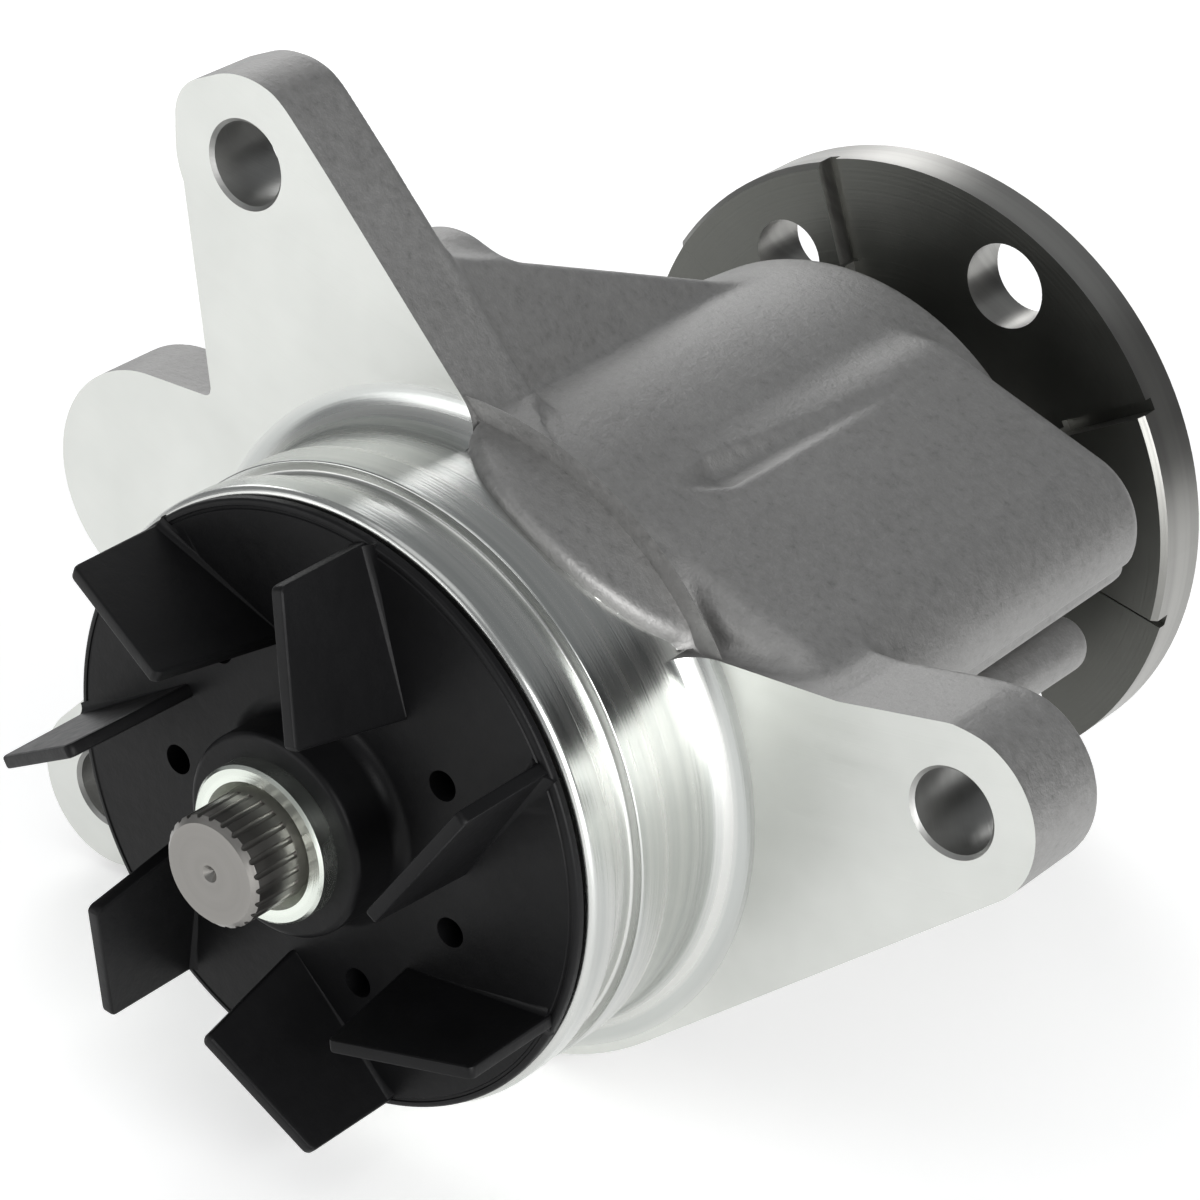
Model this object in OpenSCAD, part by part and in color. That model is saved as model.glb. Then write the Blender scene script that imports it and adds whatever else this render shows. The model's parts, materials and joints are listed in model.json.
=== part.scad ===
// Engine water pump: flanged aluminium body, moulded impeller, sealed
// bearing shaft and pressed pulley hub.
// The shaft lies along Y. The origin is on the shaft's axis, in the plane of
// the machined mounting face. -Y is the coolant side, +Y is the pulley side.

/* [Body] */
// Radius of the turned spigot that fits the engine's bore
spigot_r = 32.6; // [32.2:0.1:33.2]
// How far the spigot stands out of the mounting face
spigot_len = 20.9; // [19.5:0.1:20.9]
// Thickness of the mounting flange
flange_t = 9; // [7:0.5:10]
// Radius of the three bolt holes in the ears
ear_hole_r = 4.4; // [3.3:0.1:5]
// Outer radius of the bearing barrel at its rear end
barrel_r = 28; // [26:0.5:30]
// Distance from the mounting face to the barrel's rear end
barrel_end = 64; // [62:0.5:65]

/* [Impeller] */
// Radius of the impeller's disc
disc_r = 32; // [30:0.5:32.2]
// Number of vanes
vanes = 7; // [5:1:8]
// Thickness of a vane
vane_t = 1.4; // [1:0.1:2]

/* [Pulley hub] */
// Radius of the hub's disc
hub_r = 35.7; // [33:0.1:38]
// Thickness of the hub's disc
hub_t = 7.3; // [6:0.1:9]
// Distance from the mounting face to the hub's near face
hub_near = 72.5; // [71:0.5:76]
// Radius of the circle of the pulley screws
screw_circle_r = 26.5; // [24:0.5:28]
// Radius of the holes for the pulley screws
screw_hole_r = 4.2; // [3.3:0.1:4.5]
// Radius of the circle of the tool holes
tool_circle_r = 28.5; // [27:0.5:29.5]
// Radius of the tool holes
tool_hole_r = 4.8; // [4:0.1:5.5]

/* [Bearing and shaft] */
// Radius of the shaft inside the bearing
shaft_r = 9.5; // [9:0.1:10]
// Outer radius of the bearing
bearing_r = 19.05; // [18.5:0.05:20]
// Radius of a bearing ball
ball_r = 3.97; // [3.5:0.01:4.2]
// Number of bearing balls
balls = 8; // [6:1:9]
// Radius of a bearing roller
roller_r = 2.75; // [2.5:0.05:2.9]
// Number of bearing rollers
rollers = 11; // [8:1:12]

/* [Hidden] */
$fn = 96;
SMOOTH = 32;
THROUGH = 1;
RUNNING = 0.05;

// Places along the shaft, in order from the coolant side
shaft_tip = -38.1;
vane_tip_inner = -38;
vane_tip_outer = -34.5;
insert_front = -31.5;
impeller_boss_front = -29.5;
disc_front = -22.4;
disc_front_inner = -23;
disc_back = -21.3;
disc_web_back = -19.7;
groove_start = -17.2;
groove_end = -13.4;
pilot_end = -9.3;
// just behind the pilot the spigot is a hair smaller
relief_r = spigot_r - 0.35;
mouth_floor = -8;
insert_back = -15.4;
journal_start = -15;
seat_front = -12.2;
seal_face = -8;
case_back = 3.2;
slinger_at = 5.2;
// the barrel reaches this far forward, inside the spigot
barrel_front = -9;
weep_at = 6.1;
bearing_start = 9;
bearing_end = 62;
ball_row = 20;
roller_row = 47;
hub_far = hub_near + hub_t;
hub_boss_start = 66.2;

// Radii on the shaft's axis
tip_r = 5.85;
journal_r = 7.95;
insert_r = 8.3;
seal_bore_r = 18.25;
mouth_r = 26.5;
weep_r = 16.2;
ring_in_r = shaft_r + 2 * roller_r + RUNNING;
// the balls run 0.9 mm deep in the shaft
ball_circle_r = shaft_r + ball_r - 0.9;
roller_circle_r = shaft_r + roller_r + RUNNING / 2;
roller_len = 14;

// Mounting ears, as [x, z] of each bolt hole
ear_top = [-27.9, 52.7];
ear_right = [58.2, 10.5];
ear_left = [-51.7, -26.3];
ear_r = 9.3;
ear_chamfer = 0.4;
skirt_r = 36.7;
// the right ear is thicker than the others
right_ear_t = flange_t + 1.8;
// spot face round each bolt hole, at the ear's back
spot_r = 8.4;
spot_depth = 0.3;
// space between the top ear and the right ear
valley = [[-36.9, 76.5], [16.5, 16.9], [45, 17.7], [57.8, 19.8], [75, 19.8], [75, 76.5]];

// ---- helpers -------------------------------------------------------------

// Solid of revolution about the shaft's axis from [radius, y] points
module turned(points) {
    rotate([-90, 0, 0]) rotate_extrude() polygon(points);
}

// Cylinder along the shaft's axis direction at [x, z], from y0 to y1
module rod(r, y0, y1, at = [0, 0]) {
    translate([at[0], y0, at[1]]) rotate([-90, 0, 0]) cylinder(r = r, h = y1 - y0);
}

// Rod whose radius goes from ra at y0 to rb at y1
module taper(ra, rb, y0, y1, at = [0, 0]) {
    translate([at[0], y0, at[1]]) rotate([-90, 0, 0]) cylinder(r1 = ra, r2 = rb, h = y1 - y0);
}

// Plain ring about the shaft's axis
module ring(r_out, r_in, y0, y1) {
    turned([[r_in, y0], [r_out, y0], [r_out, y1], [r_in, y1]]);
}

// Slab between y0 and y1 whose outline is a child drawn in [x, z]
module slab(y0, y1) {
    translate([0, y1, 0]) rotate([90, 0, 0]) linear_extrude(y1 - y0) children();
}

// Child turned about the shaft's axis, from +X towards +Z
module around(angle) {
    rotate([0, -angle, 0]) children();
}

// Points of an arc about c, from angle a0 to a1
function arc(c, r, a0, a1, steps = 8) =
    [for (i = [0:steps]) let (a = a0 + (a1 - a0) * i / steps) c + r * [cos(a), sin(a)]];

// ---- housing -------------------------------------------------------------

module flange_outline() {
    // flat-topped lobe at the left, with no hole in it
    lobe = [-42.5, 12.6];
    difference() {
        union() {
            circle(r = skirt_r);
            hull() {
                translate(ear_top) circle(r = ear_r, $fn = SMOOTH * 2);
                translate(ear_top + [-4.2, 2.9]) circle(r = 5, $fn = SMOOTH * 2);
                translate([-25.2, 22]) circle(r = 8, $fn = SMOOTH);
                translate([10, 10]) circle(r = 14, $fn = SMOOTH);
            }
            hull() {
                translate(ear_right) circle(r = ear_r, $fn = SMOOTH * 2);
                circle(r = skirt_r, $fn = SMOOTH * 3);
            }
            hull() {
                translate(ear_left) circle(r = ear_r, $fn = SMOOTH * 2);
                circle(r = 26, $fn = SMOOTH * 2);
            }
            translate(lobe) circle(r = 13.2);
            translate([lobe[0], lobe[1] - 13.2]) square([22, 26.4]);
        }
        polygon(valley);
    }
}

module right_ear_outline() {
    difference() {
        hull() {
            translate(ear_right) circle(r = ear_r, $fn = SMOOTH * 2);
            translate([44, 7.9]) circle(r = 12.4, $fn = SMOOTH * 2);
        }
        polygon(valley);
    }
}

// Turned spigot: front ring, ring groove, pilot and a fillet at its root
module spigot() {
    root_r = 3.5;
    groove_r = spigot_r - 1.3;
    chamfer = 0.8;
    difference() {
        turned(concat(
            [[mouth_r, -spigot_len], [spigot_r - chamfer, -spigot_len],
             [spigot_r, -spigot_len + chamfer], [spigot_r, groove_start - 0.1],
             [groove_r, groove_start + 0.1], [groove_r, groove_end - 0.1],
             [spigot_r, groove_end + 0.1], [spigot_r, pilot_end], [relief_r, pilot_end + 0.35]],
            arc([relief_r + root_r, -root_r], root_r, 180, 90, 6),
            [[relief_r + root_r, 0.5], [mouth_r, 0.5]]
        ));
        // the fillet stops at the valley, which leaves no face beside it
        difference() {
            slab(-root_r - 0.1, THROUGH) polygon(valley);
            rod(relief_r - 0.02, -root_r - THROUGH, 2 * THROUGH);
        }
    }
}

// Drafted barrel that holds the bearing, with a rounded rear edge
module barrel() {
    edge = 2;
    turned(concat(
        [[1, barrel_front], [relief_r - 0.1, barrel_front], [relief_r - 0.1, -1],
         [spigot_r + 0.2, 1]],
        arc([barrel_r - edge, barrel_end - edge], edge, 3, 90, 6),
        [[1, barrel_end]]
    ));
}

// Cast collar between the top and right ears, in front of the mounting face
module collar() {
    bow_r = 18.1;
    front_bow = 9.6;
    back_bow = 19.4;
    around(61) intersection() {
        ring(spigot_r + 1, 20, barrel_front, 12);
        // its tail stops at the top ear's wall
        translate([0, -10, -bow_r]) cube([50, 30, bow_r + 14.4]);
        difference() {
            translate([0, front_bow, 0]) rotate([0, 90, 0]) cylinder(r = bow_r, h = 50);
            translate([0, back_bow, 0]) rotate([0, 90, 0]) cylinder(r = bow_r, h = 60);
        }
    }
}

// Round-ended arm that runs back beside the barrel, behind the right ear
module arm() {
    end = 58.5;
    // rods that the arm is wrapped round; the first makes its round outer edge
    ends = [[34, 11.6], [15.2, 18.4], [12, 4]];
    hull() {
        for (p = ends) {
            taper(8.7, 8, flange_t - 1, end - 1.5, p, $fn = SMOOTH);
            taper(8, 6.8, end - 1.5, end, p, $fn = SMOOTH);
        }
    }
}

// Slim rib under the arm
module finger() {
    end = 54.5;
    hull() {
        for (p = [[35.5, -1.5], [20, -6]]) {
            rod(3.1, flange_t - 1, end - 1.2, p, $fn = SMOOTH);
            taper(3.1, 2, end - 1.2, end, p, $fn = SMOOTH);
        }
    }
}

// Wedge that braces the top ear against the barrel
module brace() {
    hull() {
        slab(flange_t - 1, flange_t) polygon([[-9.6, 45.5], [-0.5, 33.6], [-12, 18], [-27, 40]]);
        slab(52, 54) polygon([[-5.5, 27.9], [-4, 24], [-10, 18], [-11.5, 25.6]]);
    }
}

module housing() color([0.66, 0.66, 0.65]) {
    // round boss behind the top ear
    rear_boss = [-15.5, 35.3];
    difference() {
        union() {
            slab(0, flange_t) flange_outline();
            slab(0, right_ear_t) right_ear_outline();
            spigot();
            barrel();
            collar();
            arm();
            finger();
            brace();
            rod(8.3, flange_t - 1, 18.5, rear_boss);
        }
        // mouth behind the impeller, seal bore, weep space and bearing bore
        rod(mouth_r, -spigot_len - THROUGH, mouth_floor);
        rod(seal_bore_r, mouth_floor - THROUGH, case_back);
        rod(weep_r, case_back - THROUGH, bearing_start + THROUGH);
        rod(bearing_r, bearing_start, barrel_end + THROUGH);
        // weep hole, straight down
        translate([0, weep_at, 0]) rotate([180, 0, 0]) cylinder(r = 2.5, h = 40);
        for (p = [ear_top, ear_right, ear_left]) {
            rod(ear_hole_r, -THROUGH, right_ear_t + THROUGH, p);
            taper(ear_hole_r + ear_chamfer + 0.01, ear_hole_r, -0.01, ear_chamfer, p);
        }
        for (p = [ear_top, ear_left]) rod(spot_r, flange_t - spot_depth, flange_t + THROUGH, p);
        rod(spot_r, right_ear_t - spot_depth, right_ear_t + THROUGH, ear_right);
    }
}

// ---- impeller ------------------------------------------------------------

// One straight vane, standing on the disc. Its inner end is nearer the shaft.
module vane() {
    inner = 19.5 * [cos(108.9), sin(108.9)];
    outer = 31.5 * [cos(130.3), sin(130.3)];
    run = outer - inner;
    len = norm(run);
    base = -disc_front - 0.6;
    foot = 2.8;
    translate([inner[0], 0, inner[1]]) around(atan2(run[1], run[0]))
        translate([0, 0, -vane_t / 2]) linear_extrude(vane_t) polygon(concat(
            [[-foot, -base], [len, -base]],
            arc([len - 0.8, vane_tip_outer + 0.8], 0.8, 0, -75, 3),
            arc([0.9, vane_tip_inner + 1.1], 0.9, -100, -180, 3)
        ));
}

module impeller() color([0.09, 0.09, 0.1]) {
    boss_r = 10.8;
    difference() {
        union() {
            turned([
                [insert_r, impeller_boss_front], [boss_r - 0.5, impeller_boss_front],
                [boss_r, impeller_boss_front + 0.5], [boss_r, disc_front_inner],
                [18, disc_front_inner], [disc_r - 0.7, disc_front], [disc_r, disc_front + 0.5],
                [disc_r, disc_back], [25.6, disc_back], [25, disc_web_back],
                [14, disc_web_back], [12.5, -16.5], [insert_r, -16.5]
            ]);
            for (i = [0:vanes - 1]) around(i * 360 / vanes) vane();
        }
        // balance holes through the disc
        for (i = [0:vanes - 1]) around(28 + i * 360 / vanes) rod(1.6, -30, -15, [18.3, 0]);
    }
}

// Metal sleeve moulded into the impeller
module impeller_insert() color([0.78, 0.8, 0.76]) {
    turned([
        [tip_r, insert_front + 0.9], [6.7, insert_front], [insert_r - 0.3, insert_front],
        [insert_r, insert_front + 0.3], [insert_r, insert_back], [tip_r, insert_back]
    ]);
}

// ---- shaft and hub -------------------------------------------------------

module bearing_shaft() color([0.55, 0.54, 0.52]) {
    flutes = 24;
    difference() {
        turned([
            [0, shaft_tip + 0.9], [0.9, shaft_tip], [tip_r - 0.6, shaft_tip],
            [tip_r, shaft_tip + 0.6], [tip_r, journal_start - 0.4], [journal_r, journal_start],
            [journal_r, slinger_at + 2], [shaft_r, slinger_at + 3], [shaft_r, hub_far - 0.9],
            [shaft_r - 0.6, hub_far - 0.3], [2, hub_far - 0.3], [0, hub_far - 2.3]
        ]);
        // groove that the balls run in
        rotate([-90, 0, 0]) translate([0, 0, ball_row]) rotate_extrude()
            translate([ball_circle_r, 0]) circle(r = ball_r + RUNNING);
        // serrations on the part of the tip that stands out of the impeller
        for (i = [0:flutes - 1]) around(i * 360 / flutes)
            rod(0.35, shaft_tip - THROUGH, insert_front - 0.5, [tip_r + 0.1, 0], $fn = 16);
    }
}

module pulley_hub() color([0.36, 0.36, 0.35]) {
    recess = 1.6;
    boss_r = 14.5;
    edge = 0.6;
    // the three shallow sectors, and the holes between and inside them
    sector_at = 28;
    sector = 79;
    slot_w = 1.4;
    tool_hole_at = 63.3;
    screw_hole_at = 123.6;
    difference() {
        turned([
            [shaft_r, hub_boss_start], [boss_r - edge, hub_boss_start],
            [boss_r, hub_boss_start + edge], [boss_r, hub_near], [hub_r - edge, hub_near],
            [hub_r, hub_near + edge], [hub_r, hub_far - edge], [hub_r - edge, hub_far],
            [shaft_r + 0.8, hub_far], [shaft_r, hub_far - 0.8]
        ]);
        for (i = [0:2]) {
            // shallow sector that leaves raised pads between
            around(sector_at + 120 * i) rotate([-90, 0, 0]) translate([0, 0, hub_near - THROUGH])
                rotate([0, 0, -sector]) rotate_extrude(angle = sector)
                    translate([boss_r + 0.5, 0]) square([hub_r, recess + THROUGH]);
            // relief slots along the sector's two edges
            for (a = [sector_at, sector_at + sector]) around(a + 120 * i)
                translate([24, hub_near - THROUGH, -slot_w / 2])
                    cube([14, recess + THROUGH + 0.9, slot_w]);
            around(tool_hole_at + 120 * i)
                rod(tool_hole_r, hub_near - THROUGH, hub_far + THROUGH, [tool_circle_r, 0]);
            around(screw_hole_at + 120 * i)
                rod(screw_hole_r, hub_near - THROUGH, hub_far + THROUGH, [screw_circle_r, 0]);
        }
    }
}

// ---- bearing -------------------------------------------------------------

module bearing_outer_ring() color([0.7, 0.7, 0.72]) {
    difference() {
        turned([
            [ring_in_r, bearing_start + 4], [ring_in_r + 1, bearing_start + 4],
            [ring_in_r + 1, bearing_start], [bearing_r - 0.5, bearing_start],
            [bearing_r, bearing_start + 0.5], [bearing_r, bearing_end - 0.5],
            [bearing_r - 0.5, bearing_end], [ring_in_r + 1, bearing_end],
            [ring_in_r + 1, bearing_end - 4], [ring_in_r, bearing_end - 4]
        ]);
        rotate([-90, 0, 0]) translate([0, 0, ball_row]) rotate_extrude()
            translate([ball_circle_r, 0]) circle(r = ball_r + RUNNING);
    }
}

module bearing_balls() color([0.8, 0.8, 0.82]) {
    for (i = [0:balls - 1]) around(i * 360 / balls)
        translate([ball_circle_r, ball_row, 0]) sphere(r = ball_r);
}

module ball_cage() color([0.72, 0.6, 0.35]) {
    difference() {
        ring(ball_circle_r + 1.4, ball_circle_r - 1.4, ball_row - ball_r - 1.2, ball_row + ball_r + 1.2);
        for (i = [0:balls - 1]) around(i * 360 / balls)
            translate([0, ball_row, 0]) rotate([0, 90, 0]) cylinder(r = ball_r + 0.15, h = bearing_r);
    }
}

module bearing_rollers() color([0.8, 0.8, 0.82]) {
    for (i = [0:rollers - 1]) around(i * 360 / rollers)
        rod(roller_r, roller_row - roller_len / 2, roller_row + roller_len / 2, [roller_circle_r, 0]);
}

module roller_cage() color([0.72, 0.6, 0.35]) {
    end = roller_len / 2 + 2;
    difference() {
        ring(roller_circle_r + 1.3, roller_circle_r - 1.3, roller_row - end, roller_row + end);
        for (i = [0:rollers - 1]) around(i * 360 / rollers)
            rod(roller_r + 0.15, roller_row - roller_len / 2 - 0.2, roller_row + roller_len / 2 + 0.2,
                [roller_circle_r, 0]);
    }
}

// Rubber lip seal in one end of the bearing, between y0 and y0 + 3
module lip_seal(y0) {
    turned([
        [shaft_r + RUNNING, y0 + 1], [shaft_r + 1.2, y0], [ring_in_r + 1, y0], [ring_in_r + 1, y0 + 3],
        [ring_in_r - 1, y0 + 3], [ring_in_r - 1.6, y0 + 1.8], [shaft_r + 1.2, y0 + 1.8],
        [shaft_r + RUNNING, y0 + 1.4]
    ]);
}

module bearing_seal_front() color([0.13, 0.13, 0.13]) lip_seal(bearing_start + 0.6);

module bearing_seal_rear() color([0.13, 0.13, 0.13]) lip_seal(bearing_end - 3.6);

// Disc on the shaft that throws leaked coolant out to the weep hole
module slinger() color([0.15, 0.15, 0.15]) {
    turned([
        [journal_r, slinger_at - 1.2], [9.6, slinger_at - 1.2], [9.6, slinger_at - 0.4],
        [13.8, slinger_at], [13.8, slinger_at + 0.9], [9.6, slinger_at + 1.2],
        [journal_r, slinger_at + 1.2]
    ]);
}

// ---- shaft seal ----------------------------------------------------------

// Drawn steel shell pressed into the housing
module seal_case() color([0.75, 0.73, 0.66]) {
    t = 0.8;
    lip_r = seal_bore_r + 2.4;
    turned([
        [lip_r, mouth_floor - t], [lip_r, mouth_floor], [seal_bore_r, mouth_floor],
        [seal_bore_r, case_back], [11, case_back], [11, case_back - t],
        [seal_bore_r - t, case_back - t], [seal_bore_r - t, mouth_floor - t]
    ]);
}

// Rubber bellows between the case and the carbon ring
module seal_bellows() color([0.1, 0.1, 0.1]) {
    turned([
        [10.2, case_back - 0.8], [10.2, -2.6], [9.7, -3.4], [9.7, -4.4], [15, -4.4], [15, -3.4],
        [11.4, -3.4], [11.4, -2.6], [12.4, -1.4], [11.4, 0.2], [11.4, 1.2], [13.6, 1.2],
        [13.6, case_back - 0.8]
    ]);
}

// Coil spring that presses the carbon ring on its seat
module seal_spring() color([0.7, 0.7, 0.7]) {
    wire_r = 0.55;
    coils = 3;
    coil_r = 14.6;
    pitch = 1.55;
    first = -2.45;
    for (i = [0:coils - 1])
        rotate([-90, 0, 0]) translate([0, 0, first + i * pitch]) rotate_extrude()
            translate([coil_r, 0]) circle(r = wire_r, $fn = 24);
    // short links from one coil to the next
    for (i = [0:coils - 2]) around(i * 180)
        rod(wire_r * 0.8, first + i * pitch, first + (i + 1) * pitch, [coil_r, 0], $fn = 24);
}

module seal_carbon_ring() color([0.12, 0.12, 0.13]) {
    turned([
        [9.6, -4.4], [9.6, -7], [10.6, -7], [10.6, seal_face + 0.02], [13, seal_face + 0.02],
        [13, -7], [14.2, -7], [14.2, -4.4]
    ]);
}

// Thin band that grips the bellows to the carbon ring
module seal_drive_ring() color([0.75, 0.73, 0.66]) {
    ring(15.7, 15.05, -6.4, -3.6);
}

module seal_mating_ring() color([0.88, 0.86, 0.8]) {
    ring(14.4, 9.4, seat_front + 1, seal_face);
}

// Rubber cup that holds the mating ring on the sleeve
module seal_mating_cup() color([0.1, 0.1, 0.1]) {
    turned([
        [8.55, seat_front - 0.2], [16, seat_front - 0.2], [16, seal_face - 1.2], [14.4, seal_face - 1.2],
        [14.4, seat_front + 1], [9.4, seat_front + 1], [9.4, seal_face - 0.6], [8.55, seal_face - 0.6]
    ]);
}

// Thin sleeve pressed on the shaft's journal
module seal_sleeve() color([0.8, 0.8, 0.78]) {
    ring(8.55, journal_r, journal_start + 0.3, case_back);
}

housing();
impeller();
impeller_insert();
bearing_shaft();
pulley_hub();
bearing_outer_ring();
bearing_balls();
ball_cage();
bearing_rollers();
roller_cage();
bearing_seal_front();
bearing_seal_rear();
slinger();
seal_case();
seal_bellows();
seal_spring();
seal_carbon_ring();
seal_drive_ring();
seal_mating_ring();
seal_mating_cup();
seal_sleeve();
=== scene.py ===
"""Looks of an engine water pump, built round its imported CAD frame.

Lengths in the shape code are millimetres in the part's own frame: the shaft
lies along Y, the mounting face is the plane y = 0, and -Y is the coolant side.
"""

import json
import math

import bmesh
import bpy
import numpy as np
from mathutils import Matrix, Vector


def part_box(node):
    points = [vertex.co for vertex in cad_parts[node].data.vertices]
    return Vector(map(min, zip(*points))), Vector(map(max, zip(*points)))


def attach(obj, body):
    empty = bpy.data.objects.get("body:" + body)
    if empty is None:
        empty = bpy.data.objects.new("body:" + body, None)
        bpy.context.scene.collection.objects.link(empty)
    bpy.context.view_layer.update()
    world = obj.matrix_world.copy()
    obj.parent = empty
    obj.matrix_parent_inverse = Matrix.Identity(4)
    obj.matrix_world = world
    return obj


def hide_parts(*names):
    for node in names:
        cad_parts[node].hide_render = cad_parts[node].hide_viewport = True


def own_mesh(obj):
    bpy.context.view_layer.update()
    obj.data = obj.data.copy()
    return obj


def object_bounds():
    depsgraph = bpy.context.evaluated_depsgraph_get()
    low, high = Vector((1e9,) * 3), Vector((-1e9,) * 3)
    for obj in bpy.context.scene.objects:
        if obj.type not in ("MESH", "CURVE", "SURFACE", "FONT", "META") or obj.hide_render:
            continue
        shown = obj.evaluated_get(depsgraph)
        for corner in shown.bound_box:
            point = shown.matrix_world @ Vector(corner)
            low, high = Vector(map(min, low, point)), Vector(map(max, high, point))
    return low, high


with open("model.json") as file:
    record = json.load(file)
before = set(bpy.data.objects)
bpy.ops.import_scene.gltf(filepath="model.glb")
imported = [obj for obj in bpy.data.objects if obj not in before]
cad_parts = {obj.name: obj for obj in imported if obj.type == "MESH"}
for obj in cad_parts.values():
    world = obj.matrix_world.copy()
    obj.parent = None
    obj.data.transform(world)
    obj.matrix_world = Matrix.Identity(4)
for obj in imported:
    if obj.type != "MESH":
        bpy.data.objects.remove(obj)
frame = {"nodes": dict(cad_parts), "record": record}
cad_low, cad_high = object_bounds()
bodies = frame["record"]["behaviour"]["bodies"]
body_of = {node: body for body, nodes in bodies.items() for node in nodes}


def reach(node):
    """Lowest and highest corner of a CAD node, in millimetres."""
    low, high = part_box(node)
    return low * 1000, high * 1000


housing_low, housing_high = reach("housing")
impeller_low, impeller_high = reach("impeller")
SPIGOT_FRONT = housing_low.y
BARREL_END = housing_high.y

# ---------------------------------------------------------------- mesh tools


def mesh_object(name, points, faces):
    """Object from points in millimetres and a list or array of faces."""
    mesh = bpy.data.meshes.new(name)
    points = np.asarray(points, float) / 1000
    mesh.from_pydata(points.tolist(), [], [list(f) for f in faces])
    mesh.update()
    obj = bpy.data.objects.new(name, mesh)
    bpy.context.scene.collection.objects.link(obj)
    return obj


def lathe(name, profile, turns=180, at=(0, 0)):
    """Solid of revolution about a line along Y through x, z = at.

    The profile is closed, as [radius, y] points, and a radius of 0 lies on the line.
    """
    rows, points = [], []
    for r, y in profile:
        if r < 1e-6:
            rows.append([len(points)])
            points.append((at[0], y, at[1]))
        else:
            rows.append(list(range(len(points), len(points) + turns)))
            for i in range(turns):
                a = 2 * math.pi * i / turns
                points.append((at[0] + r * math.cos(a), y, at[1] + r * math.sin(a)))
    faces = []
    for a, b in zip(rows, rows[1:] + rows[:1]):
        if len(a) == 1 and len(b) == 1:
            continue
        for i in range(turns):
            j = (i + 1) % turns
            quad = [a[i % len(a)], b[i % len(b)], b[j % len(b)], a[j % len(a)]]
            face = list(dict.fromkeys(quad))
            if len(face) > 2:
                faces.append(face)
    return fix_normals(mesh_object(name, points, faces))


def prism_faces(n):
    """Faces of a prism whose points are one end's n corners and then the other's."""
    ends = [list(range(n)), list(range(2 * n - 1, n - 1, -1))]
    return ends + [[i, i + n, (i + 1) % n + n, (i + 1) % n] for i in range(n)]


def prism(name, outline, low, high):
    """Solid whose outline, as [x, z] points, runs from y = low to y = high."""
    points = [(x, low, z) for x, z in outline] + [(x, high, z) for x, z in outline]
    return fix_normals(mesh_object(name, points, prism_faces(len(outline))))


def fix_normals(obj):
    bm = bmesh.new()
    bm.from_mesh(obj.data)
    bmesh.ops.recalc_face_normals(bm, faces=bm.faces)
    bm.to_mesh(obj.data)
    bm.free()
    return obj


def combine(obj, other, how):
    """Boolean of obj with other, which is used up."""
    before = len(obj.data.vertices)
    mod = obj.modifiers.new("combine", "BOOLEAN")
    mod.operation, mod.object = how, other
    # the second solver is for shapes that the quick one gives back empty or unchanged
    for solver in ("MANIFOLD", "EXACT"):
        mod.solver = solver
        bpy.context.view_layer.update()
        made = bpy.data.meshes.new_from_object(
            obj.evaluated_get(bpy.context.evaluated_depsgraph_get()))
        if len(made.vertices) and len(made.vertices) != before:
            break
    obj.modifiers.clear()
    obj.data = made
    bpy.data.objects.remove(other)
    return obj


def join(name, parts):
    """One object that holds several separate shells."""
    bm = bmesh.new()
    for part in parts:
        bm.from_mesh(part.data)
        bpy.data.objects.remove(part)
    mesh = bpy.data.meshes.new(name)
    bm.to_mesh(mesh)
    bm.free()
    obj = bpy.data.objects.new(name, mesh)
    bpy.context.scene.collection.objects.link(obj)
    return obj


def net(name, field, low, high, step):
    """Closed mesh of the surface where field(x, y, z) is 0. It is negative inside."""
    axes = [np.arange(a, b + step, step) for a, b in zip(low, high)]
    grid = np.meshgrid(*axes, indexing="ij", sparse=True)
    value = np.broadcast_to(field(*grid), [len(a) for a in axes]).astype(np.float32)
    cells = np.array(value.shape) - 1
    total, count = np.zeros((*cells, 3)), np.zeros(cells, np.int8)
    quads = []
    for axis in range(3):
        near = np.take(value, np.arange(cells[axis]), axis)
        far = np.take(value, np.arange(1, cells[axis] + 1), axis)
        cross = (near < 0) != (far < 0)
        share = np.where(cross, near / np.where(cross, near - far, 1), 0)
        one, two = (axis + 1) % 3, (axis + 2) % 3
        for a in (0, 1):
            for b in (0, 1):
                cut = [slice(None)] * 3
                cut[one], cut[two] = slice(a, a + cells[one]), slice(b, b + cells[two])
                hit = cross[tuple(cut)]
                count += hit
                total[..., axis] += share[tuple(cut)]
                total[..., one] += hit * a
                total[..., two] += hit * b
        quads.append((one, two, np.argwhere(cross), near[cross] < 0))
    index = np.full(cells, -1)
    active = np.argwhere(count > 0)
    index[tuple(active.T)] = np.arange(len(active))
    at = tuple(active.T)
    points = active + total[at] / count[at][:, None]
    faces = []
    for one, two, where, outward in quads:
        keep = (where[:, one] > 0) & (where[:, two] > 0)
        keep &= (where[:, one] < cells[one]) & (where[:, two] < cells[two])
        where, outward = where[keep], outward[keep]
        ring = []
        for a, b in ((1, 1), (0, 1), (0, 0), (1, 0)):
            spot = where.copy()
            spot[:, one] -= a
            spot[:, two] -= b
            ring.append(index[tuple(spot.T)])
        ring = np.stack(ring, 1)
        ring[~outward] = ring[~outward][:, ::-1]
        faces.append(ring)
    points = np.array(low) + points * step
    for _ in range(3):
        p = points.T
        e = 0.03
        f = field(*p)
        slope = np.stack([(field(*(p + d[:, None])) - field(*(p - d[:, None]))) / (2 * e)
                          for d in np.eye(3) * e], 1)
        size = np.maximum((slope ** 2).sum(1), 0.2)
        points = points - slope * np.clip(f / size, -step / 2, step / 2)[:, None]
    return mesh_object(name, points, np.concatenate(faces).tolist())


# ----------------------------------------------------------- distance fields


def blend_in(a, b, k):
    """Union of two solids with a rounded inner corner about k wide."""
    h = np.maximum(k - np.abs(a - b), 0) / k
    return np.minimum(a, b) - h * h * k / 4


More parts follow.
